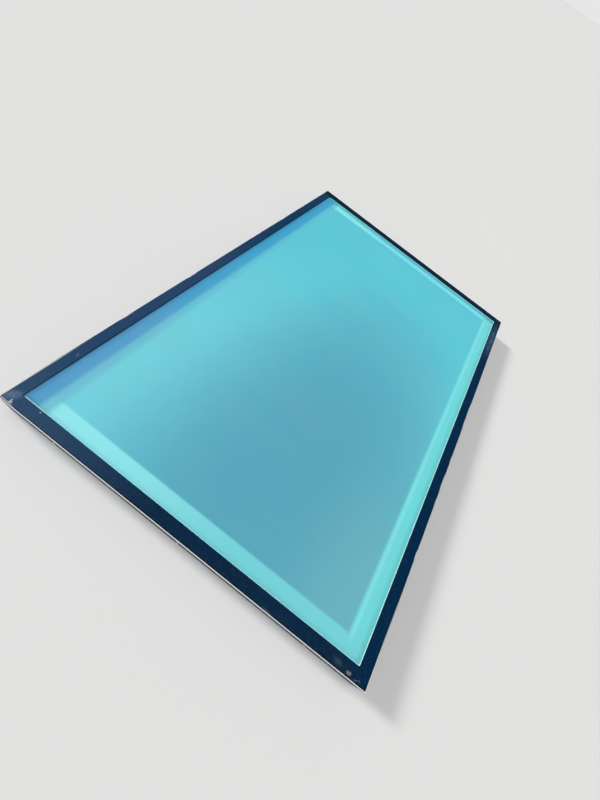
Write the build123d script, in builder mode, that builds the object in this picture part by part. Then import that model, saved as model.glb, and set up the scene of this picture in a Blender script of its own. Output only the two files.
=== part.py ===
from build123d import *
from dataclasses import dataclass
from math import cos, radians, sin
import os

os.makedirs("parts", exist_ok=True)

# A fixed roof skylight that sits on a raised curb. All sizes in mm.
# Origin: middle of the frame, at the foot of the skirt. X runs along the long side, from the left jamb to the
# right one, Y runs up the slope from sill to head, and Z points out of the roof.

# The curb that the frame goes over
curb_length = 1867.0
curb_width = 1257.0
curb_play = 8.5

# Base frame: one aluminium extrusion, an outer wall with a seat web on its inner side
wall = 2.0
skirt_depth = 34.0
foot_bead_width = 1.2
foot_bead_height = 3.0
seat_thickness = 2.4
seat_reach = 40.0
hook_thickness = 1.6
hook_height = 3.0
hook_clearance = 0.2
key_rib_width = 1.6
key_rib_height = 1.4
curb_gasket_width = 14.0
curb_gasket_thickness = 4.0

# Inner frame: white hollow profile with a glazing stop and a gutter for condensation
plastic_wall = 2.8
drip_channel = 7.0
stop_thickness = 2.8
stop_below_glass = 3.0
shelf_height = 17.6
chamber_split = 26.0
gutter_start = 54.0
gutter_width = 26.0
gutter_depth = 8.0
gutter_draft = 2.0
lip_width = 10.0
lip_gap = 0.8
lip_radius = 2.0

# Glass unit, from the top: outer pane, cavity, upper glass, white layer, lower glass
outer_glass = 5.0
cavity = 10.5
laminated_glass = 3.0
white_layer = 0.8
glass_arris = 0.6
edge_seal_width = 8.0
spacer_width = 6.5
spacer_bend = 5.0
tape_width = 12.0
tape_thickness = 3.0
tape_inset = 4.0
block_length = 100.0
block_thickness = 3.0

# Cap rail and its gasket
cap_width = 36.0
cap_thickness = 2.0
cap_leg_thickness = 2.4
cap_leg_height = 23.5
cap_leg_gap = 2.0
cap_edge_radius = 1.4
cap_nose_width = 1.6
cap_nose_drop = 0.9
wall_below_cap = 3.0
gasket_thickness = 2.2
gasket_width = 11.4
gasket_lip = 1.2
gasket_lip_thickness = 0.4
gasket_rib = 1.2

# Corners and drains
mitre_gap = 0.2
base_key_leg = 60.0
base_key_thickness = 3.0
base_key_height = 16.0
key_clearance = 0.2
cap_key_leg = 70.0
cap_key_width = 16.0
cap_key_thickness = 1.5
weep_hole_width = 8.0
weep_hole_height = 3.0
weep_slot_length = 20.0
weep_slot_height = 4.0
baffle_length = 36.0
baffle_height = 9.0

# Cap screws, and the holes for the screws that hold the skirt to the curb
curb_holes = 4
long_curb_pitch = 500.0
short_curb_pitch = 320.0
curb_hole_radius = 2.75
curb_hole_height = 14.0
long_side_screws = 4
short_side_screws = 3
long_screw_pitch = 480.0
short_screw_pitch = 440.0
screw_drop = 17.5
screw_length = 8.2
screw_radius = 2.1
screw_clearance = 0.3
screw_head_width = 8.0
screw_head_height = 3.0

# Outside of the frame, and its levels from the foot of the skirt upwards
frame_length = curb_length + 2 * (curb_play + wall)
frame_width = curb_width + 2 * (curb_play + wall)
seat_under = skirt_depth + curb_gasket_thickness
seat_top = seat_under + seat_thickness
shelf = seat_top + shelf_height
lower_glass_z = shelf + tape_thickness
white_layer_z = lower_glass_z + laminated_glass
upper_glass_z = white_layer_z + white_layer
cavity_z = upper_glass_z + laminated_glass
outer_glass_z = cavity_z + cavity
glass_top = outer_glass_z + outer_glass
cap_under = glass_top + gasket_thickness
cap_top = cap_under + cap_thickness
screw_z = cap_top - screw_drop

# Distances inward from the outer face of the frame
cap_outer = wall + cap_leg_gap
cap_inner = cap_outer + cap_width
stop_outer = wall + drip_channel
stop_inner = stop_outer + stop_thickness
glass_edge = stop_inner + block_thickness
gutter_end = gutter_start + gutter_width
inner_face = gutter_end + gutter_draft + lip_width
gasket_outer = cap_inner - cap_nose_width - gasket_width


@dataclass
class Side:
    """One side of the frame: the way inward in degrees from X, how far out its face is, its length and its holes."""

    inward: float
    reach: float
    length: float
    screws: int
    screw_pitch: float
    curb_pitch: float


sides = {
    "sill": Side(90, frame_width / 2, frame_length, long_side_screws, long_screw_pitch, long_curb_pitch),
    "head": Side(270, frame_width / 2, frame_length, long_side_screws, long_screw_pitch, long_curb_pitch),
    "left": Side(0, frame_length / 2, frame_width, short_side_screws, short_screw_pitch, short_curb_pitch),
    "right": Side(180, frame_length / 2, frame_width, short_side_screws, short_screw_pitch, short_curb_pitch),
}


def section_plane(side):
    """The cross-section in the middle of a side: x is inward from the outer face, y is up, z is along the side."""
    inward = Vector(cos(radians(side.inward)), sin(radians(side.inward)), 0)
    along = Vector(inward.Y, -inward.X, 0)
    return Plane(origin=inward * -side.reach, x_dir=inward, z_dir=along)


def outer_plane(side):
    """The outer face of a side, looked at from outside: x is along the side, y is up, z is outward."""
    section = section_plane(side)
    return Plane(origin=section.origin, x_dir=section.z_dir, z_dir=section.x_dir * -1)


def level_plane(side, height):
    """A level plane over a side: x is inward, y is along the side, z is up."""
    section = section_plane(side)
    return Plane(origin=section.origin + Vector(0, 0, height), x_dir=section.x_dir, z_dir=(0, 0, 1))


def cut_mitres(side):
    """Ends the rail that is being made at 45 degrees in both corners of its side."""
    section = section_plane(side)
    for end in (1, -1):
        corner = section.origin + section.z_dir * end * side.length / 2
        outward = (section.x_dir + section.z_dir * end).normalized()
        split(bisect_by=Plane(origin=corner - outward * mitre_gap / 2, z_dir=outward), keep=Keep.BOTTOM)


def corner_planes(inset, height):
    """A level plane in each corner of the frame, with x and y along the two sides that meet there, or y reversed."""
    for x_end in (1, -1):
        for y_end in (1, -1):
            corner = Vector(x_end * (frame_length / 2 - inset), y_end * (frame_width / 2 - inset), height)
            yield Plane(origin=corner, x_dir=(-x_end, 0, 0), z_dir=(0, 0, 1)), x_end * y_end


def finish(part, name):
    """Names a finished piece and writes it."""
    part.label = name
    export_step(part, f"parts/{name}.step")


# Base rails: the outer wall is the skirt below the seat and the wall round the cap above it. The seat ends in a
# hook that the inner frame drops over. Curb screw holes run along the skirt and cap screw holes near the top, and
# the sill has weep slots just over the seat, halfway between the screws.
wall_top = cap_top - wall_below_cap
key_rib_z = seat_top + base_key_height + key_clearance
seat_end = wall + seat_reach
hook_top = seat_top + hook_height
for side_name, side in sides.items():
    with BuildPart() as base_rail:
        with BuildSketch(section_plane(side)):
            with BuildLine():
                Polyline(
                    (0, 0),
                    (wall + foot_bead_width, 0),
                    (wall + foot_bead_width, foot_bead_height),
                    (wall, foot_bead_height + foot_bead_width),
                    (wall, seat_under),
                    (seat_end, seat_under),
                    (seat_end, hook_top),
                    (seat_end - hook_thickness, hook_top),
                    (seat_end - hook_thickness, seat_top),
                    (wall, seat_top),
                    (wall, key_rib_z),
                    (wall + key_rib_width, key_rib_z),
                    (wall + key_rib_width, key_rib_z + key_rib_height),
                    (wall, key_rib_z + key_rib_height),
                    (wall, wall_top),
                    (0, wall_top),
                    close=True,
                )
            make_face()
        extrude(amount=side.length / 2, both=True)
        cut_mitres(side)
        with BuildSketch(outer_plane(side)):
            with Locations((0, curb_hole_height)):
                with GridLocations(side.curb_pitch, 1, curb_holes, 1):
                    Circle(curb_hole_radius)
            with Locations((0, screw_z)):
                with GridLocations(side.screw_pitch, 1, side.screws, 1):
                    Circle(screw_radius + screw_clearance)
            if side_name == "sill":
                with Locations((0, seat_top + weep_slot_height / 2)):
                    with GridLocations(side.screw_pitch, 1, side.screws - 1, 1):
                        Rectangle(weep_slot_length, weep_slot_height)
        extrude(amount=-wall, mode=Mode.SUBTRACT)
    finish(base_rail.part, f"base_rail_{side_name}")


# Corner keys of the base frame: an upright angle in each corner, on the seat, under the rib and against the walls.
with BuildPart() as base_corner_keys:
    for corner, turn in corner_planes(wall, seat_top):
        with BuildSketch(corner):
            with BuildLine():
                Polyline(
                    (0, 0),
                    (base_key_leg, 0),
                    (base_key_leg, turn * base_key_thickness),
                    (base_key_thickness, turn * base_key_thickness),
                    (base_key_thickness, turn * base_key_leg),
                    (0, turn * base_key_leg),
                    close=True,
                )
            make_face()
        extrude(amount=base_key_height)
finish(base_corner_keys.part, "base_corner_keys")


# Curb gaskets: soft foam strips under the seat, which bed on the top of the curb.
for side_name, side in sides.items():
    with BuildPart() as curb_gasket:
        with BuildSketch(section_plane(side)):
            with Locations((wall + curb_play, skirt_depth)):
                Rectangle(curb_gasket_width, curb_gasket_thickness, align=(Align.MIN, Align.MIN))
        extrude(amount=side.length / 2, both=True)
        cut_mitres(side)
    finish(curb_gasket.part, f"curb_gasket_{side_name}")


# Inner frame rails: a hollow white profile with a glazing stop, a shelf for the glass, a condensation gutter and a
# rounded inner lip. A groove underneath takes the hook of the seat. Two chambers lie outside the groove, and a third
# runs from it under the gutter and up into the lip. The sill is slotted so that the gutter drains through it.
chamber_floor = seat_top + plastic_wall
chamber_roof = shelf - plastic_wall
gutter_floor = shelf - gutter_depth
stop_top = glass_top - stop_below_glass
groove_inner = seat_end + hook_clearance
groove_outer = seat_end - hook_thickness - hook_clearance
groove_top = hook_top + hook_clearance
lip_top = lower_glass_z - lip_gap
for side_name, side in sides.items():
    with BuildPart() as inner_rail:
        with BuildSketch(section_plane(side)):
            with BuildLine():
                Polyline(
                    (stop_outer, seat_top),
                    (stop_outer, stop_top),
                    (stop_inner, stop_top),
                    (stop_inner, shelf),
                    (gutter_start, shelf),
                    (gutter_start + gutter_draft, gutter_floor),
                    (gutter_end, gutter_floor),
                    (gutter_end + gutter_draft, lip_top),
                    (inner_face, lip_top),
                    (inner_face, seat_under),
                    (groove_inner, seat_under),
                    (groove_inner, groove_top),
                    (groove_outer, groove_top),
                    (groove_outer, seat_top),
                    close=True,
                )
            make_face()
            with BuildLine():
                Polyline(
                    (stop_outer + plastic_wall, chamber_floor),
                    (stop_outer + plastic_wall, chamber_roof),
                    (chamber_split, chamber_roof),
                    (chamber_split, chamber_floor),
                    close=True,
                )
            make_face(mode=Mode.SUBTRACT)
            with BuildLine():
                Polyline(
                    (chamber_split + plastic_wall, chamber_floor),
                    (chamber_split + plastic_wall, chamber_roof),
                    (groove_outer - plastic_wall, chamber_roof),
                    (groove_outer - plastic_wall, chamber_floor),
                    close=True,
                )
            make_face(mode=Mode.SUBTRACT)
            with BuildLine():
                Polyline(
                    (groove_inner + plastic_wall, seat_under + plastic_wall),
                    (groove_inner + plastic_wall, chamber_roof),
                    (gutter_start - plastic_wall, chamber_roof),
                    (gutter_start + gutter_draft - plastic_wall, gutter_floor - plastic_wall),
                    (gutter_end + plastic_wall, gutter_floor - plastic_wall),
                    (gutter_end + gutter_draft + plastic_wall, lip_top - plastic_wall),
                    (inner_face - plastic_wall, lip_top - plastic_wall),
                    (inner_face - plastic_wall, seat_under + plastic_wall),
                    close=True,
                )
            make_face(mode=Mode.SUBTRACT)
        extrude(amount=side.length / 2, both=True)
        along = Axis((0, 0, 0), section_plane(side).z_dir)
        fillet(inner_rail.edges().filter_by(along).filter_by_position(Axis.Z, lip_top, lip_top), radius=lip_radius)
        cut_mitres(side)
        if side_name == "sill":
            with BuildSketch(outer_plane(side).offset(-stop_outer)):
                with Locations((0, gutter_floor + weep_hole_height / 2)):
                    with GridLocations(side.screw_pitch, 1, side.screws - 1, 1):
                        Rectangle(weep_hole_width, weep_hole_height)
            extrude(amount=stop_outer - gutter_start - gutter_draft, mode=Mode.SUBTRACT)
    finish(inner_rail.part, f"inner_rail_{side_name}")


# Glazing tapes: rubber strips on the shelf that the glass unit is bedded on.
for side_name, side in sides.items():
    with BuildPart() as glazing_tape:
        with BuildSketch(section_plane(side)):
            with Locations((glass_edge + tape_inset, shelf)):
                Rectangle(tape_width, tape_thickness, align=(Align.MIN, Align.MIN))
        extrude(amount=side.length / 2, both=True)
        cut_mitres(side)
    finish(glazing_tape.part, f"glazing_tape_{side_name}")


# Setting blocks stand on the shelf of the sill and carry the lower edge of the glass unit. Edge blocks keep it off
# the glazing stops of the other three sides. Each side has two, a quarter of the pane's length in from its ends.
with BuildPart() as setting_blocks:
    with BuildSketch(level_plane(sides["sill"], shelf)):
        with Locations((stop_inner + block_thickness / 2, 0)):
            with GridLocations(1, sides["sill"].length / 2 - glass_edge, 1, 2):
                Rectangle(block_thickness, block_length)
    extrude(amount=stop_top - shelf)
finish(setting_blocks.part, "setting_blocks")

with BuildPart() as edge_blocks:
    for side_name in ("head", "left", "right"):
        with BuildSketch(level_plane(sides[side_name], shelf)):
            with Locations((stop_inner + block_thickness / 2, 0)):
                with GridLocations(1, sides[side_name].length / 2 - glass_edge, 1, 2):
                    Rectangle(block_thickness, block_length)
        extrude(amount=stop_top - shelf)
finish(edge_blocks.part, "edge_blocks")


# Glass unit: the laminated pane below is two glasses with the white layer between them. The spacer is laid in one
# piece round the edge of the cavity, and the edge seal fills the channel outside it.
pane_length = frame_length - 2 * glass_edge
pane_width = frame_width - 2 * glass_edge
with BuildPart() as laminated_glass_lower:
    with BuildSketch(Plane.XY.offset(lower_glass_z)):
        Rectangle(pane_length, pane_width)
    extrude(amount=laminated_glass)
    chamfer(laminated_glass_lower.edges().group_by(Axis.Z)[0], length=glass_arris)
finish(laminated_glass_lower.part, "laminated_glass_lower")

with BuildPart() as diffusing_layer:
    with BuildSketch(Plane.XY.offset(white_layer_z)):
        Rectangle(pane_length, pane_width)
    extrude(amount=white_layer)
finish(diffusing_layer.part, "diffusing_layer")

with BuildPart() as laminated_glass_upper:
    with BuildSketch(Plane.XY.offset(upper_glass_z)):
        Rectangle(pane_length, pane_width)
    extrude(amount=laminated_glass)
    chamfer(laminated_glass_upper.edges().group_by(Axis.Z)[-1], length=glass_arris)
finish(laminated_glass_upper.part, "laminated_glass_upper")

with BuildPart() as spacer:
    with BuildSketch(Plane.XY.offset(cavity_z)):
        RectangleRounded(pane_length - 2 * edge_seal_width, pane_width - 2 * edge_seal_width, spacer_bend)
        Rectangle(
            pane_length - 2 * (edge_seal_width + spacer_width),
            pane_width - 2 * (edge_seal_width + spacer_width),
            mode=Mode.SUBTRACT,
        )
    extrude(amount=cavity)
finish(spacer.part, "spacer")

with BuildPart() as edge_seal:
    with BuildSketch(Plane.XY.offset(cavity_z)):
        Rectangle(pane_length, pane_width)
        RectangleRounded(
            pane_length - 2 * edge_seal_width, pane_width - 2 * edge_seal_width, spacer_bend, mode=Mode.SUBTRACT
        )
    extrude(amount=cavity)
finish(edge_seal.part, "edge_seal")

with BuildPart() as outer_pane:
    with BuildSketch(Plane.XY.offset(outer_glass_z)):
        Rectangle(pane_length, pane_width)
    extrude(amount=outer_glass)
    chamfer(outer_pane.edges().filter_by(Plane.XY), length=glass_arris)
finish(outer_pane.part, "outer_pane")


# Cap gaskets: rubber strips held between the nose and the rib of the cap, with a thin lip that reaches out onto the
# glass past the edge of the cap.
for side_name, side in sides.items():
    with BuildPart() as cap_gasket:
        with BuildSketch(section_plane(side)):
            with BuildLine():
                Polyline(
                    (gasket_outer, glass_top),
                    (cap_inner + gasket_lip, glass_top),
                    (cap_inner + gasket_lip, glass_top + gasket_lip_thickness),
                    (cap_inner, cap_under - cap_nose_drop),
                    (cap_inner - cap_nose_width, cap_under - cap_nose_drop),
                    (cap_inner - cap_nose_width, cap_under),
                    (gasket_outer, cap_under),
                    close=True,
                )
            make_face()
        extrude(amount=side.length / 2, both=True)
        cut_mitres(side)
    finish(cap_gasket.part, f"cap_gasket_{side_name}")


# Cap rails: a flat top with rounded edges, an outer leg that goes down inside the wall of the base frame, and a rib
# and a nose underneath that hold the gasket.
for side_name, side in sides.items():
    with BuildPart() as cap_rail:
        with BuildSketch(section_plane(side)):
            with BuildLine():
                Polyline(
                    (cap_outer, cap_top - cap_leg_height),
                    (cap_outer, cap_top),
                    (cap_inner, cap_top),
                    (cap_inner, cap_under - cap_nose_drop),
                    (cap_inner - cap_nose_width, cap_under - cap_nose_drop),
                    (cap_inner - cap_nose_width, cap_under),
                    (gasket_outer, cap_under),
                    (gasket_outer, cap_under - gasket_rib),
                    (gasket_outer - gasket_rib, cap_under - gasket_rib),
                    (gasket_outer - gasket_rib, cap_under),
                    (cap_outer + cap_leg_thickness, cap_under),
                    (cap_outer + cap_leg_thickness, cap_top - cap_leg_height),
                    close=True,
                )
            make_face()
        extrude(amount=side.length / 2, both=True)
        along = Axis((0, 0, 0), section_plane(side).z_dir)
        fillet(cap_rail.faces().sort_by(Axis.Z)[-1].edges().filter_by(along), radius=cap_edge_radius)
        cut_mitres(side)
        with BuildSketch(outer_plane(side).offset(-cap_outer)):
            with Locations((0, screw_z)):
                with GridLocations(side.screw_pitch, 1, side.screws, 1):
                    Circle(screw_radius + screw_clearance)
        extrude(amount=-cap_leg_thickness, mode=Mode.SUBTRACT)
    finish(cap_rail.part, f"cap_rail_{side_name}")


# Corner keys of the cap: flat angles that lie under the top of the cap, between its leg and its rib.
with BuildPart() as cap_corner_keys:
    for corner, turn in corner_planes(cap_outer + cap_leg_thickness + key_clearance, cap_under - cap_key_thickness):
        with BuildSketch(corner):
            with BuildLine():
                Polyline(
                    (0, 0),
                    (cap_key_leg, 0),
                    (cap_key_leg, turn * cap_key_width),
                    (cap_key_width, turn * cap_key_width),
                    (cap_key_width, turn * cap_key_leg),
                    (0, turn * cap_key_leg),
                    close=True,
                )
            make_face()
        extrude(amount=cap_key_thickness)
finish(cap_corner_keys.part, "cap_corner_keys")


# Cap screws: hexagon heads, driven from outside through the wall into the leg of the cap.
with BuildPart() as cap_screw:
    with BuildSketch(Plane.XY):
        RegularPolygon(screw_head_width / 2, 6, major_radius=False)
    extrude(amount=screw_head_height)
    with BuildSketch(Plane.XY):
        Circle(screw_radius)
    extrude(amount=-screw_length)

with BuildPart() as cap_screws:
    for side in sides.values():
        with Locations(outer_plane(side)):
            with Locations((0, screw_z)):
                with GridLocations(side.screw_pitch, 1, side.screws, 1):
                    add(cap_screw.part)
finish(cap_screws.part, "cap_screws")


# Weep baffles: open foam blocks in the drip channel behind the weep slots, which keep driven rain out.
with BuildPart() as weep_baffles:
    with BuildSketch(level_plane(sides["sill"], seat_top)):
        with Locations((wall + drip_channel / 2, 0)):
            with GridLocations(1, sides["sill"].screw_pitch, 1, sides["sill"].screws - 1):
                Rectangle(drip_channel, baffle_length)
    extrude(amount=baffle_height)
finish(weep_baffles.part, "weep_baffles")
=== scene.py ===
from math import pi, radians

import bmesh
import bpy
from mathutils import Euler, Matrix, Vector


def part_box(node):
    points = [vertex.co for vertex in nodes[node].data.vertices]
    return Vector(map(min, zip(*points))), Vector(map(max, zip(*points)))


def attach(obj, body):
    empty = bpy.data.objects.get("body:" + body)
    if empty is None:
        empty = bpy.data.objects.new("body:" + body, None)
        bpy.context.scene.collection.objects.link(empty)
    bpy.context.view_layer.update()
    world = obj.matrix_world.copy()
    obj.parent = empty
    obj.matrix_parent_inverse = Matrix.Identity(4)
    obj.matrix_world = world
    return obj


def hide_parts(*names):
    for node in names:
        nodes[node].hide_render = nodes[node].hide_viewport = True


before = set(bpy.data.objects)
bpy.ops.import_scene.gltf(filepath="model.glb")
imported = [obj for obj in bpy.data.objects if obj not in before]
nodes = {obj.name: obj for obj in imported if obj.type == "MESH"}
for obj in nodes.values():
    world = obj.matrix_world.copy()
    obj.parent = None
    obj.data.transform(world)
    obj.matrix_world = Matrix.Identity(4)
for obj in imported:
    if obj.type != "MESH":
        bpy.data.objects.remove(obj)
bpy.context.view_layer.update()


# Base frame and cap: powder-coated aluminium rails, cut at 45 degrees at the corners. The cap lies on the
# edge of the glass and is screwed on inside the base frame's wall. The wall's sawn top edge stands a little
# outside the cap, and the coat is worn off it where rain and hands reach it; its pale line is partly a
# painted highlight. The coat also carries painted reflections by side and a painted highlight on the cap's
# edge.
SIDES = ("sill", "head", "left", "right")
half_length = -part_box("base_rail_left")[0].x
half_width = -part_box("base_rail_sill")[0].y
wall_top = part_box("base_rail_sill")[1].z
cap_outer = half_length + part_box("cap_rail_left")[0].x
cap_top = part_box("cap_rail_left")[1].z


def tone(red, green, blue):
    """A colour given as 0 to 255 on a screen, as the linear colour that a shader takes."""
    linear = [((c / 255 + 0.055) / 1.055) ** 2.4 if c > 10 else c / 255 / 12.92 for c in (red, green, blue)]
    return (*linear, 1.0)


class Finish:
    """One material: its Principled shader, and short calls for the nodes that feed it."""

    def __init__(self, name, same_all_over):
        self.material = bpy.data.materials.new(name)
        self.material.use_nodes = True
        self.tree = self.material.node_tree
        self.shader = self.tree.nodes["Principled BSDF"]
        for socket, value in same_all_over.items():
            self.shader.inputs[socket].default_value = value
        self.place = self.add("TexCoord", {}, output="Object")
        parts = self.add("SeparateXYZ", {"Vector": self.place}).node.outputs
        self.x, self.y, self.z = parts["X"], parts["Y"], parts["Z"]

    def add(self, kind, inputs, output=0, **settings):
        """Adds a node, joins or sets its inputs by name or number, and returns one of its outputs."""
        node = self.tree.nodes.new("ShaderNode" + kind)
        for setting, value in settings.items():
            setattr(node, setting, value)
        for socket, value in inputs.items():
            if isinstance(value, bpy.types.NodeSocket):
                self.tree.links.new(value, node.inputs[socket])
            else:
                node.inputs[socket].default_value = value
        return node.outputs[output]

    def feed(self, socket, value):
        """Joins a node's output to a socket of the Principled shader."""
        self.tree.links.new(value, self.shader.inputs[socket])

    def math(self, operation, a, b=0.0):
        return self.add("Math", {0: a, 1: b}, operation=operation)

    def product(self, first, *others):
        for other in others:
            first = self.math("MULTIPLY", first, other)
        return first

    def most(self, first, *others):
        for other in others:
            first = self.math("MAXIMUM", first, other)
        return first

    def fade(self, value, start, end):
        """0 at start and 1 at end, eased in and out, whichever of the two is higher."""
        inputs = {"Value": value, "From Min": start, "From Max": end}
        return self.add("MapRange", inputs, interpolation_type="SMOOTHSTEP")

    def ramp(self, value, first, last, start=0.0, end=1.0):
        """first at start and last at end, on a straight line between them and level beyond."""
        inputs = {"Value": value, "From Min": start, "From Max": end, "To Min": first, "To Max": last}
        return self.add("MapRange", inputs)

    def noise(self, scale, detail=3.0, stretch=(1.0, 1.0, 1.0)):
        """Noise whose grain is 1 / scale metres, drawn out along an axis where stretch is under 1."""
        place = self.add("Mapping", {"Vector": self.place, "Scale": stretch})
        return self.add("TexNoise", {"Vector": place, "Scale": scale, "Detail": detail})

    def mark(self, middle, size, turn, full):
        """An oval mark, turned by some degrees: 0 from its rim outward, 1 from a share full of it inward."""
        turned = (0.0, 0.0, radians(turn))
        inputs = {"Vector": self.place, "Location": middle, "Rotation": turned, "Scale": size}
        place = self.add("Mapping", inputs, vector_type="TEXTURE")
        radius = self.add("VectorMath", {0: place}, output="Value", operation="LENGTH")
        return self.fade(radius, 1.0, full)

    def mix(self, share, first, second, blend="MIX"):
        """first and second mixed as colours, with that share of second."""
        # The node repeats its sockets for every type of value: 6, 7 and the output 2 are the ones for colour.
        inputs = {0: share, 6: first, 7: second}
        return self.add("Mix", inputs, output=2, data_type="RGBA", blend_type=blend)

    def overlay(self, share, first, second):
        """first and second mixed as shaders, with that share of second."""
        return self.add("MixShader", {0: share, 1: first, 2: second})

    def relief(self, height, depth, strength=1.0):
        """A bump of that height pattern, depth metres deep."""
        self.feed("Normal", self.add("Bump", {"Strength": strength, "Distance": depth, "Height": height}))

    def inward(self):
        """How far a point lies inward from the outer face of the frame, on whichever side is nearer."""
        from_jamb = self.math("SUBTRACT", half_length, self.math("ABSOLUTE", self.x))
        from_end = self.math("SUBTRACT", half_width, self.math("ABSOLUTE", self.y))
        return self.math("MINIMUM", from_jamb, from_end)

    def upward(self):
        """1 where a face looks up, 0 where it is upright or looks down."""
        normal = self.add("NewGeometry", {}, output="Normal")
        return self.fade(self.add("SeparateXYZ", {"Vector": normal}, output="Z"), 0.35, 0.9)


# Marks on the cap's top face: the middle, half length, half width and turn in degrees of each, and how much
# of the coat it takes.
cap_marks = [
    ((-0.9325, 0.6050), 0.0095, 0.0030, 4.0, 2.00),
    ((-0.9345, 0.6010), 0.0050, 0.0038, -40.0, 1.80),
    ((-0.9180, 0.6170), 0.0360, 0.0220, -50.0, 0.28),
    ((-0.7205, 0.6120), 0.0090, 0.0026, 24.0, 0.50),
    ((-0.9100, 0.5260), 0.0060, 0.0030, 70.0, 0.75),
    ((-0.9325, -0.5720), 0.0085, 0.0065, 60.0, 0.44),
    ((-0.9310, -0.5790), 0.0060, 0.0045, 20.0, 0.62),
    ((-0.9350, -0.6000), 0.0110, 0.0024, -70.0, 0.34),
    ((-0.9314, -0.6110), 0.0055, 0.0022, 40.0, 0.30),
    ((-0.9265, -0.5350), 0.0240, 0.0120, 84.0, 0.09),
    ((0.7300, -0.6200), 0.2100, 0.0280, 0.0, 0.17),
    ((0.6500, -0.6170), 0.0340, 0.0050, 6.0, 0.44),
    ((0.7200, -0.6230), 0.0380, 0.0050, -5.0, 0.48),
    ((0.7900, -0.6180), 0.0340, 0.0050, 9.0, 0.52),
    ((-0.9400, -0.3000), 0.0220, 0.0040, 89.0, 0.25),
    ((0.9200, -0.6100), 0.0050, 0.0040, 40.0, 0.55),
    ((0.3100, 0.6250), 0.0140, 0.0020, 5.0, 0.20),
    ((0.9260, 0.1500), 0.0130, 0.0022, 86.0, 0.18),
]
# They reach this far down, so they run over the cap's rounded edge.
mark_reach = 0.05


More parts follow.
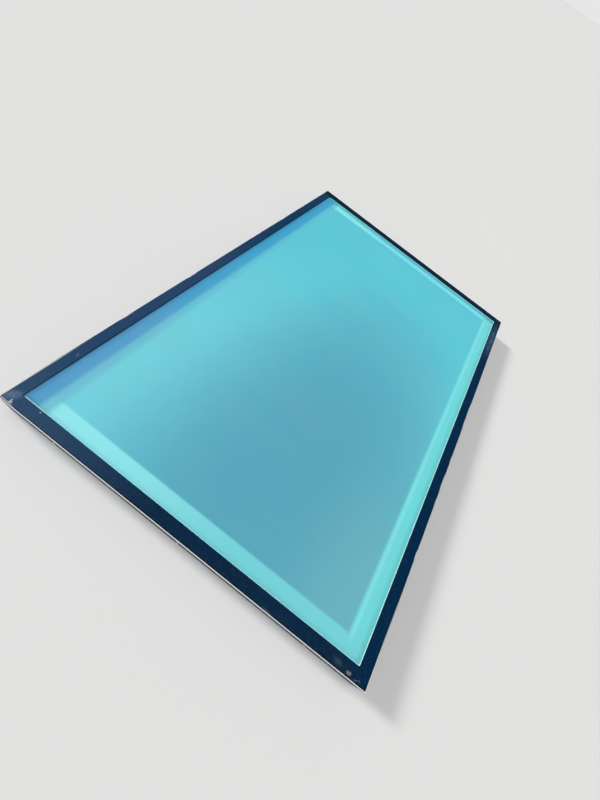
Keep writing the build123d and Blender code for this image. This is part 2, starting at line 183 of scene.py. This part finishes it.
def navy_coat(name, shine):
    """Navy powder coat with painted reflections by side, dust, rain streaks, splashes at the foot, the marks
    above and pale edges.
    """
    navy = Finish(name, {"Specular IOR Level": shine, "Specular Tint": tone(140, 180, 240)})
    depth_in = navy.inward()
    faces_up = navy.upward()
    upright = navy.math("SUBTRACT", 1.0, faces_up)
    cloudy = navy.noise(4.0, 3.0)
    grainy = navy.noise(210.0, 4.0)
    speckled = navy.noise(620.0, 2.0)

    # Each side carries a painted reflection: the head's top faces and the upper left paler, the sill a deeper
    # blue and the right darker. Its tone gives way to the next within these depths from its face.
    side_full, side_gone = 0.036, 0.052
    sill_full, sill_gone = 0.025, 0.045
    left_full, left_gone = 0.020, 0.300
    on_sill = navy.fade(navy.y, sill_gone - half_width, sill_full - half_width)
    on_head = navy.fade(navy.y, half_width - side_gone, half_width - side_full)
    near_left = navy.fade(navy.x, left_gone - half_length, left_full - half_length)
    on_right = navy.fade(navy.x, half_length - side_gone, half_length - side_full)
    coat = navy.mix(navy.fade(cloudy, 0.35, 0.7), tone(9, 35, 60), tone(15, 43, 69))
    coat = navy.mix(on_sill, coat, tone(3, 41, 72))
    head_sky_sheen = navy.mix(navy.fade(navy.x, -0.15, 0.45), tone(40, 69, 104), tone(17, 57, 90))
    coat = navy.mix(navy.product(on_head, faces_up), coat, head_sky_sheen)
    left_sky_sheen = navy.product(near_left, navy.fade(navy.y, 0.02, 0.60), 0.9)
    coat = navy.mix(left_sky_sheen, coat, tone(50, 78, 108))
    coat = navy.mix(on_right, coat, tone(2, 32, 52))

    # Dust lies on what faces up. Rain draws it down the walls and splashes grit on their foot.
    splash_height = 0.024
    dust = navy.product(navy.fade(grainy, 0.50, 0.80), faces_up, 0.08)
    streaky = navy.noise(70.0, 4.0, stretch=(1.0, 1.0, 0.05))
    streaked = navy.product(navy.fade(streaky, 0.52, 0.78), upright, 0.22)
    gritty = navy.fade(navy.noise(40.0, 5.0), 0.30, 0.75)
    splashed = navy.product(navy.fade(navy.z, splash_height, 0.0), gritty, upright, 0.42)
    dirt = navy.most(streaked, splashed)
    coat = navy.mix(dust, coat, tone(126, 138, 160))
    coat = navy.mix(dirt, coat, tone(104, 112, 122))

    # Rubbed marks show grey, warmer at the lower left corner and bluer along the right half of the sill.
    spots = [
        navy.product(navy.mark((*middle, cap_top), (half_long, half_wide, mark_reach), turn, 0.1), taken)
        for middle, half_long, half_wide, turn, taken in cap_marks
    ]
    worn_through = navy.fade(navy.noise(330.0, 5.0), 0.25, 0.66)
    rubbed = navy.math("MINIMUM", navy.product(navy.most(*spots), worn_through), 1.0)
    warm_start, warm_full, cool_full, cool_start = -0.552, -0.562, -0.588, -0.598
    warm = navy.product(navy.fade(navy.y, warm_start, warm_full), navy.fade(navy.y, cool_start, cool_full))
    mark_colour = navy.mix(warm, tone(176, 192, 214), tone(214, 204, 196))
    mark_colour = navy.mix(navy.fade(navy.x, -0.20, 0.40), mark_colour, tone(136, 182, 218))
    coat = navy.mix(rubbed, coat, mark_colour)

    # Pale metal colour: the wall's sawn edge, bare metal and partly a painted highlight, most of all at the
    # left, and a painted highlight along the cap's outer edge near the upper left corner.
    cut_start, cut_full = 0.0006, 0.0001
    wall_inner, wall_middle = cap_outer - 0.0006, cap_outer - 0.0014
    sawn = navy.fade(navy.z, wall_top - cut_start, wall_top - cut_full)
    outside_cap = navy.fade(depth_in, wall_inner, wall_middle)
    bare_patches = navy.most(near_left, navy.fade(navy.noise(9.0, 3.0), 0.54, 0.68))
    sawn_edge_and_highlight = navy.product(sawn, outside_cap, bare_patches)
    at_cap_edge = navy.fade(depth_in, cap_outer + 0.0021, cap_outer + 0.0010)
    near_corner = navy.fade(navy.x, -0.62, -0.84)
    near_top = navy.fade(navy.z, cap_top - 0.0020, cap_top - 0.0008)
    cap_edge_highlight = navy.product(at_cap_edge, on_head, near_corner, near_top, 0.9)
    bare_and_highlight = navy.most(sawn_edge_and_highlight, cap_edge_highlight)
    navy.feed("Base Color", navy.mix(bare_and_highlight, coat, tone(240, 236, 228)))
    navy.feed("Metallic", navy.product(bare_and_highlight, 0.3))

    smooth = navy.ramp(cloudy, 0.34, 0.44, start=0.3, end=0.7)
    navy.feed("Roughness", navy.math("ADD", smooth, navy.product(navy.most(rubbed, dirt), 0.3)))
    navy.relief(navy.math("ADD", speckled, navy.product(rubbed, -1.5)), 0.00012, 0.5)
    return navy.material


skirt_coat = navy_coat("skirt_powder_coat", 0.16)
cap_coat = navy_coat("cap_powder_coat", 0.01)
for side in SIDES:
    nodes["base_rail_" + side].material_slots[0].material = skirt_coat
    nodes["cap_rail_" + side].material_slots[0].material = cap_coat


# Corner keys: plain aluminium angles, extruded, sawn off and knocked into the corners of the base frame and
# of the cap. They have the fine lines of the die along them and a dull mill finish.
mill = Finish("mill_aluminium", {"Metallic": 1.0})
drawn = mill.noise(700.0, 3.0, stretch=(1.0, 1.0, 0.05))
stained = mill.fade(mill.noise(35.0, 4.0), 0.3, 0.75)
mill.feed("Base Color", mill.mix(stained, tone(186, 188, 190), tone(156, 160, 164)))
mill.feed("Roughness", mill.ramp(drawn, 0.32, 0.52))
mill.relief(drawn, 0.00008, 0.4)
for group in ("base_corner_keys", "cap_corner_keys"):
    nodes[group].material_slots[0].material = mill.material


# Inner frame: white hollow rails, extruded in plastic. Faint die lines run along each rail, and a little grey
# dust lies on them in patches.
white = Finish("white_plastic", {"Specular IOR Level": 0.45})
die_lines_per_metre = 1600.0
across_rail = white.product(white.inward(), die_lines_per_metre)
up_rail = white.product(white.z, die_lines_per_metre)
section_place = white.add("CombineXYZ", {"X": across_rail, "Y": up_rail})
die_lines = white.add("TexNoise", {"Vector": section_place, "Scale": 1.0, "Detail": 2.0})
grime = white.product(white.fade(white.noise(28.0, 5.0), 0.5, 0.8), 0.35)
white.feed("Base Color", white.mix(grime, tone(236, 238, 234), tone(196, 196, 186)))
white.feed("Roughness", white.ramp(white.noise(60.0, 3.0), 0.34, 0.5))
white.relief(die_lines, 0.00006, 0.5)
for side in SIDES:
    nodes["inner_rail_" + side].material_slots[0].material = white.material


# Foam and rubber: curb gaskets and weep baffles of grey foam, and glazing tapes, blocks and cap gaskets of
# extruded black rubber. The cap gasket's lip shows as a thin dark line along the glass, dulled by dust.
foam = Finish("grey_foam", {"Specular IOR Level": 0.2})
cells = foam.add("TexVoronoi", {"Vector": foam.place, "Scale": 900.0})
foam.feed("Base Color", foam.mix(foam.fade(cells, 0.1, 0.7), tone(46, 48, 50), tone(86, 88, 90)))
foam.feed("Roughness", foam.ramp(foam.noise(300.0), 0.8, 0.95))
foam.relief(cells, 0.0006, 0.8)
nodes["weep_baffles"].material_slots[0].material = foam.material

rubber = Finish("black_rubber", {"Specular IOR Level": 0.3})
bloom = rubber.product(rubber.fade(rubber.noise(60.0, 5.0), 0.45, 0.8), 0.22)
rubber.feed("Base Color", rubber.mix(bloom, tone(14, 16, 19), tone(84, 88, 92)))
rubber.feed("Roughness", rubber.ramp(rubber.noise(240.0, 3.0), 0.5, 0.72))
rubber.relief(rubber.noise(1500.0, 2.0), 0.0001, 0.5)
for side in SIDES:
    nodes["curb_gasket_" + side].material_slots[0].material = foam.material
    nodes["glazing_tape_" + side].material_slots[0].material = rubber.material
    nodes["cap_gasket_" + side].material_slots[0].material = rubber.material
for group in ("setting_blocks", "edge_blocks"):
    nodes[group].material_slots[0].material = rubber.material


# White layer: a translucent film in the laminated pane, painted the aqua it shows under the tinted glass. Its
# colour holds painted light: paler where light comes back up from the white inner frame under it, a painted
# shade along the head under the cap, and a painted reflection that is deeper in the middle.
layer = Finish("aqua_layer", {"Specular IOR Level": 0.2})
from_left = layer.math("ADD", layer.x, half_length)
from_right = layer.math("SUBTRACT", half_length, layer.x)
from_sill = layer.math("ADD", layer.y, half_width)
from_head = layer.math("SUBTRACT", half_width, layer.y)

# The open field carries a painted reflection: it is deepest at one place and paler away from it, and a little
# greyer at the lower left.
deepest_x, deepest_y = -0.80, -0.17
pale_after_x, pale_after_y = 1.40, 0.62
across = layer.math("DIVIDE", layer.math("SUBTRACT", layer.x, deepest_x), pale_after_x)
off_middle = layer.math("ABSOLUTE", layer.math("SUBTRACT", layer.y, deepest_y))
upslope = layer.math("DIVIDE", off_middle, pale_after_y)
away = layer.math("ADD", layer.math("POWER", across, 2.0), layer.math("POWER", upslope, 2.0))
pale_aqua = layer.mix(layer.fade(layer.x, -0.60, 0.60), tone(124, 217, 231), tone(96, 208, 224))
painted = layer.mix(layer.fade(away, 0.0, 1.2), tone(93, 172, 196), pale_aqua)
greyer = layer.product(layer.fade(layer.y, -0.22, -0.50), layer.fade(layer.x, -0.20, -0.75), 0.8)
painted = layer.mix(greyer, painted, tone(116, 186, 201))

# The pale ledge over the inner frame is painted light, come back up from the white frame beneath, brightest
# along the right: how far in from the outer face it has gone, and where it is full.
ledge_reach = {"left": (0.097, 0.088), "right": (0.079, 0.066), "sill": (0.105, 0.092)}
wider_by, wider_from, wider_to = 0.008, 0.10, 0.45
widening = layer.ramp(layer.y, 0.0, wider_by, start=wider_from, end=wider_to)
ledge_left = layer.fade(from_left, *ledge_reach["left"])
ledge_right = layer.fade(layer.math("SUBTRACT", from_right, widening), *ledge_reach["right"])
ledge_sill = layer.fade(from_sill, *ledge_reach["sill"])
ledge_light = layer.product(layer.most(ledge_left, ledge_right, ledge_sill), 0.9)
ledge_light_colour = layer.mix(layer.fade(layer.y, -0.25, 0.40), tone(130, 222, 230), tone(162, 243, 250))
right_up = layer.fade(layer.y, wider_from, wider_to)
right_light_colour = layer.mix(right_up, tone(136, 241, 255), tone(150, 250, 255))
ledge_light_colour = layer.mix(layer.fade(layer.x, 0.80, 0.86), ledge_light_colour, right_light_colour)
on_sill = layer.product(layer.fade(from_sill, 0.106, 0.100), layer.fade(from_left, 0.080, 0.120))
ledge_light_colour = layer.mix(on_sill, ledge_light_colour, tone(124, 229, 232))
painted = layer.mix(ledge_light, painted, ledge_light_colour)

# Painted light along the sill: the inner frame's raised lip, lit, shows through as a brighter line.
lip_outer, lip_outer_full, lip_inner_full, lip_inner = 0.077, 0.084, 0.088, 0.097
lip_light = layer.product(
    layer.fade(from_sill, lip_outer, lip_outer_full), layer.fade(from_sill, lip_inner, lip_inner_full),
    layer.fade(from_left, 0.060, 0.100), 0.7,
)
painted = layer.mix(lip_light, painted, tone(144, 236, 244))

# The cap's shade along the head, with a paler rim below it.
along_head = layer.fade(layer.x, -0.70, 0.20)
rim_reach = layer.ramp(layer.x, 0.012, 0.0, start=-0.9, end=0.1)
shade_rim = layer.product(layer.fade(layer.math("SUBTRACT", from_head, rim_reach), 0.118, 0.092), 0.85)
rim_colour = layer.mix(along_head, tone(120, 196, 219), tone(104, 199, 224))
painted = layer.mix(shade_rim, painted, rim_colour)
shade = layer.product(layer.fade(from_head, 0.097, 0.066), 0.96)
shade_colour = layer.mix(along_head, tone(112, 197, 255), tone(72, 202, 255))
painted = layer.mix(shade, painted, shade_colour)

uneven = layer.ramp(layer.noise(2.3, 3.0), 0.96, 1.04)
uneven_grey = layer.add("CombineColor", {"Red": uneven, "Green": uneven, "Blue": uneven})
layer.feed("Base Color", layer.mix(1.0, painted, uneven_grey, "MULTIPLY"))
layer.feed("Roughness", layer.ramp(layer.noise(40.0), 0.55, 0.7))
layer.relief(layer.noise(300.0, 2.0), 0.00005, 0.3)

# A painted glow: the layer's rim gives off faint light of its own under the cap, most on the right, standing
# for daylight that spreads sideways in the layer.
rim_full, rim_gone = 0.032, 0.054
glow_share = layer.ramp(layer.x, 0.32, 0.45, start=0.84, end=0.90)
layer.feed("Emission Strength", layer.product(glow_share, layer.fade(layer.inward(), rim_gone, rim_full)))
layer.feed("Emission Color", painted)

# The film is pressed a hair into both glasses, as its bond is, so that no face of it lies on theirs.
bond_depth = 0.00004
layer_low, layer_high = (corner.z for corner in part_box("diffusing_layer"))
film_shape = bmesh.new()
film_shape.from_mesh(nodes["diffusing_layer"].data)
bmesh.ops.remove_doubles(film_shape, verts=film_shape.verts, dist=0.00001)
for corner in film_shape.verts:
    corner.co.z += bond_depth if corner.co.z > (layer_low + layer_high) / 2 else -bond_depth
film_mesh = bpy.data.meshes.new("aqua_film")
film_shape.to_mesh(film_mesh)
film_shape.free()
film_mesh.materials.append(layer.material)
aqua_film = bpy.data.objects.new("aqua_film", film_mesh)
bpy.context.scene.collection.objects.link(aqua_film)
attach(aqua_film, "root")
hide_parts("diffusing_layer")


# Glass: a toughened outer pane over two laminated ones. Seen from above they are clear with a faint tint,
# they mirror more at a slant, and the outer face carries a thin film of dust, smears and one long scratch.
glass_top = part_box("outer_pane")[1].z
# Marks on the glass: the middle, half length, half width and turn in degrees of each, and how much it covers.
glass_marks = [
    ((-0.5590, -0.1495), 0.0270, 0.0012, -85.0, 0.38),
    ((-0.7231, 0.5896), 0.0050, 0.0024, 20.0, 0.70),
    ((-0.7120, 0.5810), 0.0120, 0.0012, -55.0, 0.16),
    ((0.4100, 0.2200), 0.0180, 0.0006, 35.0, 0.14),
]
# They are thin enough to lie on the outer face alone.
face_reach = 0.001


def clear_glass(name, tint, mirror_ior, dirt, marks=()):
    """Glass that bends what is seen through it, mirrors more at a slant, and lets light straight through."""
    glass = Finish(name, {"Specular IOR Level": 0.5})
    smears = glass.noise(7.0, 6.0, stretch=(1.0, 0.35, 1.0))
    straight = glass.add("BsdfTransparent", {"Color": tint})
    see_through = glass.add("BsdfRefraction", {"Color": tint, "Roughness": 0.0, "IOR": 1.5})
    mirror_gloss = glass.ramp(smears, 0.015, 0.10)
    mirror = glass.add("BsdfGlossy", {"Color": tone(178, 220, 250), "Roughness": mirror_gloss})
    front = glass.math("SUBTRACT", 1.0, glass.add("NewGeometry", {}, output="Backfacing"))
    slant = glass.product(glass.add("Fresnel", {"IOR": mirror_ior}), front)
    pane = glass.overlay(slant, see_through, mirror)
    ray = glass.add("LightPath", {}).node.outputs
    light = glass.most(ray["Is Shadow Ray"], ray["Is Diffuse Ray"])
    pane = glass.overlay(light, pane, straight)

    # The film of dust is the Principled shader, thin all over and thicker in the smears, specks and marks.
    glass.feed("Base Color", glass.mix(glass.noise(90.0, 4.0), tone(176, 214, 216), tone(206, 228, 222)))
    glass.feed("Roughness", glass.ramp(smears, 0.5, 0.8))
    smeared = glass.product(glass.fade(smears, 0.35, 0.85), dirt)
    specks = glass.product(glass.fade(glass.noise(520.0, 2.0), 0.70, 0.78), dirt * 3)
    spots = [
        glass.product(glass.mark((*middle, glass_top), (half_long, half_wide, face_reach), turn, 0.2), cover)
        for middle, half_long, half_wide, turn, cover in marks
    ]
    film = glass.product(glass.most(smeared, specks, *spots), front)
    out = glass.overlay(film, pane, glass.shader.outputs[0])
    glass.tree.links.new(out, glass.tree.nodes["Material Output"].inputs["Surface"])
    return glass.material


outer_glass = clear_glass("outer_glass", tone(252, 254, 254), 1.30, 0.05, glass_marks)
inner_glass = clear_glass("laminated_glass", tone(253, 255, 254), 1.12, 0.0)
nodes["outer_pane"].material_slots[0].material = outer_glass
for name in ("laminated_glass_upper", "laminated_glass_lower"):
    nodes[name].material_slots[0].material = inner_glass


# Spacer and edge seal: a pale foam strip with a foil back, laid round the cavity between the panes, and the
# dark sealant that fills the channel outside it. At a slant the strip takes the aqua of the layer beside it.
foil = Finish("spacer_strip", {"Metallic": 0.9})
rolled = foil.noise(500.0, 3.0, stretch=(0.1, 0.1, 1.0))
foil.feed("Base Color", foil.mix(foil.fade(rolled, 0.3, 0.7), tone(216, 250, 255), tone(204, 244, 252)))
foil.feed("Roughness", foil.ramp(rolled, 0.08, 0.16))
foil.relief(rolled, 0.00005, 0.4)
nodes["spacer"].material_slots[0].material = foil.material
seal = Finish("grey_sealant", {"Specular IOR Level": 0.35})
tooled = seal.noise(180.0, 4.0, stretch=(1.0, 1.0, 0.3))
seal.feed("Base Color", seal.mix(seal.fade(tooled, 0.3, 0.7), tone(22, 34, 36), tone(40, 54, 56)))
seal.feed("Roughness", seal.ramp(tooled, 0.45, 0.7))
seal.relief(tooled, 0.0002, 0.5)
nodes["edge_seal"].material_slots[0].material = seal.material


# Sealing bead: a thin fillet of sealant where the gasket's lip meets the glass, run round the glass in one
# go. It is painted paler as lit along the sill and near the upper left corner, and a darker blue-grey as
# painted shade along the head.
lip_end = half_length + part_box("cap_gasket_left")[1].x
bead_radius = 0.0014
# The middle line of the bead lies this far in from the lip's end, so the bead laps over the lip.
bead_inset = 0.0006
bead_facets = 12
bead_tree = bpy.data.node_groups.new("bead_round_glass", "GeometryNodeTree")
bead_sizes = {
    "Length": 2 * (half_length - lip_end - bead_inset),
    "Width": 2 * (half_width - lip_end - bead_inset),
    "Corner radius": 0.0018,
    "Bead radius": bead_radius,
    "Height": glass_top,
}


def tree_inputs(tree, sizes):
    """Gives a tree its geometry output and an input for each named size, and returns their identifiers."""
    tree.interface.new_socket("Geometry", in_out="OUTPUT", socket_type="NodeSocketGeometry")
    found = {}
    for name, value in sizes.items():
        kind = "NodeSocketInt" if isinstance(value, int) else "NodeSocketFloat"
        found[name] = tree.interface.new_socket(name, in_out="INPUT", socket_type=kind).identifier
    return found


def tree_node(tree, kind, inputs, output=0, **settings):
    """Adds a geometry node, joins or sets its inputs by name or number, and returns one of its outputs."""
    node = tree.nodes.new(kind)
    for setting, value in settings.items():
        setattr(node, setting, value)
    for socket, value in inputs.items():
        for one in value if isinstance(value, list) else [value]:
            if isinstance(one, bpy.types.NodeSocket):
                tree.links.new(one, node.inputs[socket])
            else:
                node.inputs[socket].default_value = one
    return node.outputs[output]


def grown(name, tree, identifiers, sizes):
    """Runs a tree with those sizes and returns what it makes as a plain mesh."""
    seed = bpy.data.objects.new(name + "_seed", bpy.data.meshes.new(name + "_seed"))
    bpy.context.scene.collection.objects.link(seed)
    modifier = seed.modifiers.new(name, "NODES")
    modifier.node_group = tree
    for size, value in sizes.items():
        modifier[identifiers[size]] = value
    bpy.context.view_layer.update()
    mesh = bpy.data.meshes.new_from_object(seed.evaluated_get(bpy.context.evaluated_depsgraph_get()))
    seed.modifiers.clear()
    bpy.data.objects.remove(seed)
    return mesh


bead = Finish("bead_sealant", {"Specular IOR Level": 0.25})
blotches = bead.noise(120.0, 4.0)
blotched = bead.fade(blotches, 0.3, 0.7)
bead_in_shade = bead.mix(bead.fade(blotches, 0.35, 0.7), tone(92, 160, 196), tone(78, 138, 172))
aqua_bead = bead.mix(blotched, tone(168, 244, 248), tone(148, 226, 232))
bead_in_light = bead.mix(blotched, tone(206, 255, 250), tone(178, 240, 238))
end_gone, end_full = half_width - 0.055, half_width - 0.048
bead_on_sill = bead.fade(bead.y, -end_gone, -end_full)
bead_on_head = bead.fade(bead.y, end_gone, end_full)
bead_near_corner = bead.product(
    bead.fade(bead.y, 0.49, 0.53), bead.fade(bead.y, 0.596, 0.588), bead.fade(bead.x, -0.89, -0.90)
)
bead_lit_share = bead.most(bead_on_sill, bead_near_corner)
bead_colour = bead.mix(bead_on_head, aqua_bead, bead_in_shade)
bead.feed("Base Color", bead.mix(bead_lit_share, bead_colour, bead_in_light))
bead.feed("Roughness", bead.ramp(blotches, 0.4, 0.6))
bead.relief(bead.noise(400.0, 3.0), 0.0003, 0.6)

bead_ids = tree_inputs(bead_tree, bead_sizes)
given = bead_tree.nodes.new("NodeGroupInput").outputs
path = tree_node(
    bead_tree, "GeometryNodeCurvePrimitiveQuadrilateral", {"Width": given["Length"], "Height": given["Width"]}
)
path = tree_node(
    bead_tree, "GeometryNodeFilletCurve", {"Curve": path, "Radius": given["Corner radius"]}, mode="POLY"
)
section = tree_node(
    bead_tree, "GeometryNodeCurvePrimitiveCircle", {"Resolution": bead_facets, "Radius": given["Bead radius"]}
)
tube = tree_node(bead_tree, "GeometryNodeCurveToMesh", {"Curve": path, "Profile Curve": section})
lift = tree_node(bead_tree, "ShaderNodeCombineXYZ", {"Z": given["Height"]})
tube = tree_node(bead_tree, "GeometryNodeTransform", {"Geometry": tube, "Translation": lift})
tube = tree_node(bead_tree, "GeometryNodeSetShadeSmooth", {"Geometry": tube})
tube = tree_node(bead_tree, "GeometryNodeRealizeInstances", {"Geometry": tube})
tube = tree_node(bead_tree, "GeometryNodeSetMaterial", {"Geometry": tube, "Material": bead.material})
bead_tree.links.new(tube, bead_tree.nodes.new("NodeGroupOutput").inputs[0])
bead_mesh = grown("sealing_bead", bead_tree, bead_ids, bead_sizes)
sealing_bead = bpy.data.objects.new("sealing_bead", bead_mesh)
bpy.context.scene.collection.objects.link(sealing_bead)
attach(sealing_bead, "root")


# Cap screws: stainless screws with a flanged hexagon head, driven through the wall into the leg of the cap,
# each on a bonded rubber washer. Each side has one row of them, evenly spaced about its middle.
screw_height = (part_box("cap_screws")[0].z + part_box("cap_screws")[1].z) / 2
rows = {
    "sill": {"Count": 4, "Pitch": 0.480},
    "head": {"Count": 4, "Pitch": 0.480},
    "left": {"Count": 3, "Pitch": 0.440},
    "right": {"Count": 3, "Pitch": 0.440},
}


def outward(x, y, turn):
    """The place of a row on a side's outer face, with X along that side and Z out of it."""
    return Matrix.Translation((x, y, screw_height)) @ Euler((pi / 2, 0, turn)).to_matrix().to_4x4()


row_places = {
    "sill": outward(0, -half_width, 0),
    "head": outward(0, half_width, pi),
    "left": outward(-half_length, 0, -pi / 2),
    "right": outward(half_length, 0, pi / 2),
}


def row_tree(name, rings, finish):
    """A tree for a row of turned or hexagonal pieces along X, each a stack of rings from the lowest up."""
    tree = bpy.data.node_groups.new(name, "GeometryNodeTree")
    sizes = {"Count": 0, "Pitch": 0.0, "Start": 0.0}
    for ring, (sides, lower, upper, height) in rings.items():
        sizes[ring + " sides"] = sides
        sizes[ring + " lower radius"] = lower
        sizes[ring + " upper radius"] = upper
        sizes[ring + " height"] = height
    identifiers = tree_inputs(tree, sizes)
    given = tree.nodes.new("NodeGroupInput").outputs
    level, stack = given["Start"], []
    for ring in rings:
        cone = tree_node(
            tree, "GeometryNodeMeshCone",
            {"Vertices": given[ring + " sides"], "Radius Bottom": given[ring + " lower radius"],
             "Radius Top": given[ring + " upper radius"], "Depth": given[ring + " height"]},
        )
        up = tree_node(tree, "ShaderNodeCombineXYZ", {"Z": level})
        stack.append(tree_node(tree, "GeometryNodeTransform", {"Geometry": cone, "Translation": up}))
        level = tree_node(tree, "ShaderNodeMath", {0: level, 1: given[ring + " height"]}, operation="ADD")
    one = tree_node(tree, "GeometryNodeJoinGeometry", {0: stack})
    step = tree_node(tree, "ShaderNodeCombineXYZ", {"X": given["Pitch"]})
    # The first piece stands half the row's length before its middle.
    first = tree_node(tree, "ShaderNodeMath", {0: given["Count"], 1: -1.0}, operation="ADD")
    first = tree_node(tree, "ShaderNodeMath", {0: first, 1: given["Pitch"]}, operation="MULTIPLY")
    first = tree_node(tree, "ShaderNodeMath", {0: first, 1: -0.5}, operation="MULTIPLY")
    start = tree_node(tree, "ShaderNodeCombineXYZ", {"X": first})
    line = tree_node(
        tree, "GeometryNodeMeshLine", {"Count": given["Count"], "Start Location": start, "Offset": step}
    )
    row = tree_node(tree, "GeometryNodeInstanceOnPoints", {"Points": line, "Instance": one})
    row = tree_node(tree, "GeometryNodeRealizeInstances", {"Geometry": row})
    row = tree_node(tree, "GeometryNodeSetMaterial", {"Geometry": row, "Material": finish.material})
    tree.links.new(row, tree.nodes.new("NodeGroupOutput").inputs[0])
    return tree, identifiers, sizes


def all_round(name, rings, start, finish):
    """One piece with the row of every side, each turned to face outward."""
    tree, identifiers, sizes = row_tree(name, rings, finish)
    whole = bmesh.new()
    for side, row in rows.items():
        mesh = grown(name + "_" + side, tree, identifiers, sizes | row | {"Start": start})
        mesh.transform(row_places[side])
        whole.from_mesh(mesh)
    mesh = bpy.data.meshes.new(name)
    whole.to_mesh(mesh)
    whole.free()
    mesh.materials.append(finish.material)
    piece = bpy.data.objects.new(name, mesh)
    bpy.context.scene.collection.objects.link(piece)
    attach(piece, "root")
    return piece


steel = Finish("stainless_steel", {"Metallic": 1.0})
turned = steel.noise(900.0, 3.0)
dulled = steel.fade(steel.noise(260.0, 4.0), 0.4, 0.7)
steel.feed("Base Color", steel.mix(dulled, tone(196, 198, 200), tone(158, 158, 154)))
steel.feed("Roughness", steel.ramp(turned, 0.22, 0.42))
steel.relief(turned, 0.00004, 0.4)
# Each ring from the tip of the screw outward: its sides, its lower and upper radius and its height.
shank_depth = 0.0082
washer_thickness = 0.0006
head_rings = {
    "Shank": (24, 0.0021, 0.0021, shank_depth + washer_thickness),
    "Flange": (40, 0.0052, 0.0049, 0.0006),
    "Head": (6, 0.0046, 0.0046, 0.0014),
    "Crown": (6, 0.0046, 0.0040, 0.0004),
}
screw_heads = all_round("cap_screw_heads", head_rings, -shank_depth, steel)
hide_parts("cap_screws")
washer_rings = {"Washer": (40, 0.0058, 0.0054, washer_thickness)}
screw_seals = all_round("cap_screw_seals", washer_rings, 0.0, rubber)


# Floor, light and camera: a plain pale floor under the frame's skirt, a soft key light low over the head, a
# broad soft light from overhead, and an even pale sky.
floor_mesh = bpy.data.meshes.new("floor")
floor_shape = bmesh.new()
bmesh.ops.create_grid(floor_shape, x_segments=1, y_segments=1, size=60.0)
floor_shape.to_mesh(floor_mesh)
floor_shape.free()
floor = bpy.data.objects.new("floor", floor_mesh)
bpy.context.scene.collection.objects.link(floor)
floor_paint = Finish("pale_floor", {"Specular IOR Level": 0.0})
floor_clouds = floor_paint.noise(0.7, 3.0)
floor_paint.feed("Base Color", floor_paint.mix(floor_clouds, tone(228, 228, 227), tone(232, 232, 231)))
floor_paint.feed("Roughness", floor_paint.ramp(floor_paint.noise(3.0), 0.75, 0.85))
floor_mesh.materials.append(floor_paint.material)

# Each lamp's strength and softness, and its place: degrees from the zenith, and clockwise from the head.
lamps = {"key": (2.1, 10.0, 63.0, 4.0), "top": (1.38, 58.0, 9.0, 240.0)}
for lamp_name, (strength, softness, from_zenith, clockwise) in lamps.items():
    lamp = bpy.data.lights.new(lamp_name, "SUN")
    lamp.energy = strength
    lamp.angle = radians(softness)
    sun = bpy.data.objects.new(lamp_name, lamp)
    sun.rotation_euler = Euler((radians(-from_zenith), 0, radians(-clockwise)))
    sun.visible_glossy = sun.visible_transmission = False
    bpy.context.scene.collection.objects.link(sun)

# The sky lights the frame at a low level. Where it is seen or mirrored, it has the floor's own tone.
sky_lighting, sky_seen = 0.22, 0.80
sky = bpy.data.worlds.new("sky")
sky.use_nodes = True
sky_shader = sky.node_tree.nodes["Background"]
sky_shader.inputs["Color"].default_value = (1.0, 1.0, 1.0, 1.0)
ray = sky.node_tree.nodes.new("ShaderNodeLightPath").outputs
seen = ray["Is Camera Ray"]
for kind in ("Is Glossy Ray", "Is Transmission Ray"):
    either = sky.node_tree.nodes.new("ShaderNodeMath")
    either.operation = "MAXIMUM"
    sky.node_tree.links.new(seen, either.inputs[0])
    sky.node_tree.links.new(ray[kind], either.inputs[1])
    seen = either.outputs[0]
sky_level = sky.node_tree.nodes.new("ShaderNodeMapRange")
sky_level.inputs["To Min"].default_value = sky_lighting
sky_level.inputs["To Max"].default_value = sky_seen
sky.node_tree.links.new(seen, sky_level.inputs["Value"])
sky.node_tree.links.new(sky_level.outputs[0], sky_shader.inputs["Strength"])
bpy.context.scene.world = sky
bpy.context.scene.view_settings.view_transform = "Standard"

camera_lens = bpy.data.cameras.new("camera")
camera_lens.lens = 14.6315
camera_lens.clip_end = 200.0
camera = bpy.data.objects.new("camera", camera_lens)
camera.location = (-0.99994, -0.04686, 1.09467)
camera.rotation_euler = Euler([radians(a) for a in (27.920, -18.612, -56.140)])
bpy.context.scene.collection.objects.link(camera)
bpy.context.scene.camera = camera
